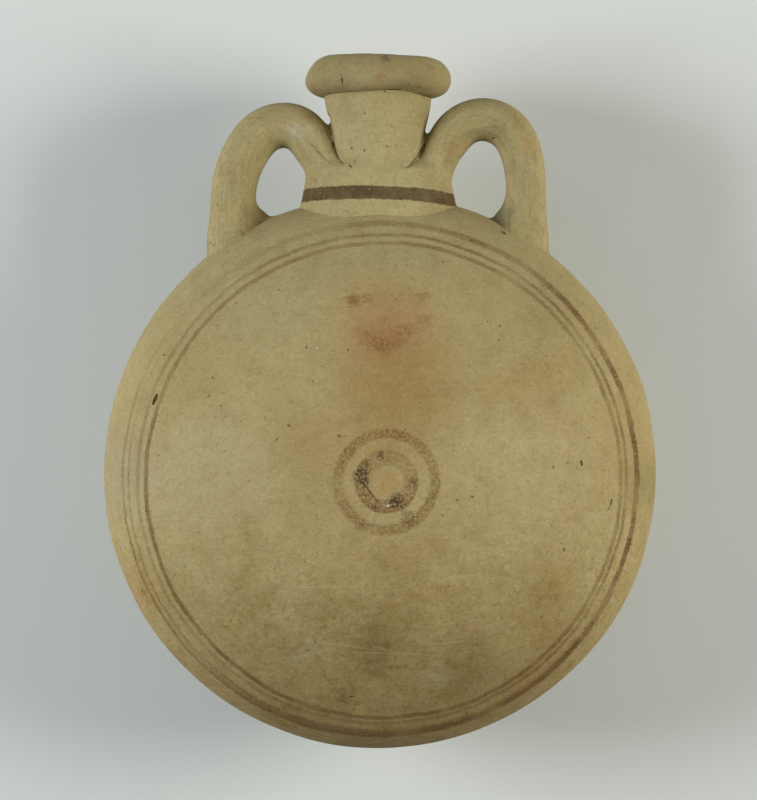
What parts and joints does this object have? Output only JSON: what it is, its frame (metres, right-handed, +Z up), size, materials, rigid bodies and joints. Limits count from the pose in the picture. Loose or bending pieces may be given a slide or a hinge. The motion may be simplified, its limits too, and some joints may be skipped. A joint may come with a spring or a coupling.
{
  "type": "pilgrim flask",
  "caption": "Round pottery pilgrim flask with a domed front, flattened back, short rolled-rim neck and a cord loop on each shoulder.",
  "frame": {"origin": "middle of the flat spot on the back that the flask rests on, on the body's axis", "axes": "+Z up through the front dome, along the body's axis; +Y along the neck, out of the mouth; +X towards the right handle, seen from the front"},
  "size_m": [0.1515, 0.1891, 0.084],
  "materials": {
    "painted_clay": "matte buff marl clay with brown painted bands",
    "body_clay": "matte buff marl clay",
    "neck_clay": "matte buff marl clay, wiped smooth",
    "handle_clay": "matte buff marl clay, finger-smoothed",
    "inside_clay": "rough unwiped marl clay"
  },
  "bodies": {
    "root": {"front_bowl": "painted_clay", "back_bowl": "body_clay", "seam_luting": "inside_clay", "closing_plug": "painted_clay", "neck": "neck_clay", "rim_roll": "neck_clay", "neck_collar": "painted_clay", "left_handle": "handle_clay", "right_handle": "handle_clay"}
  },
  "joints": []
}
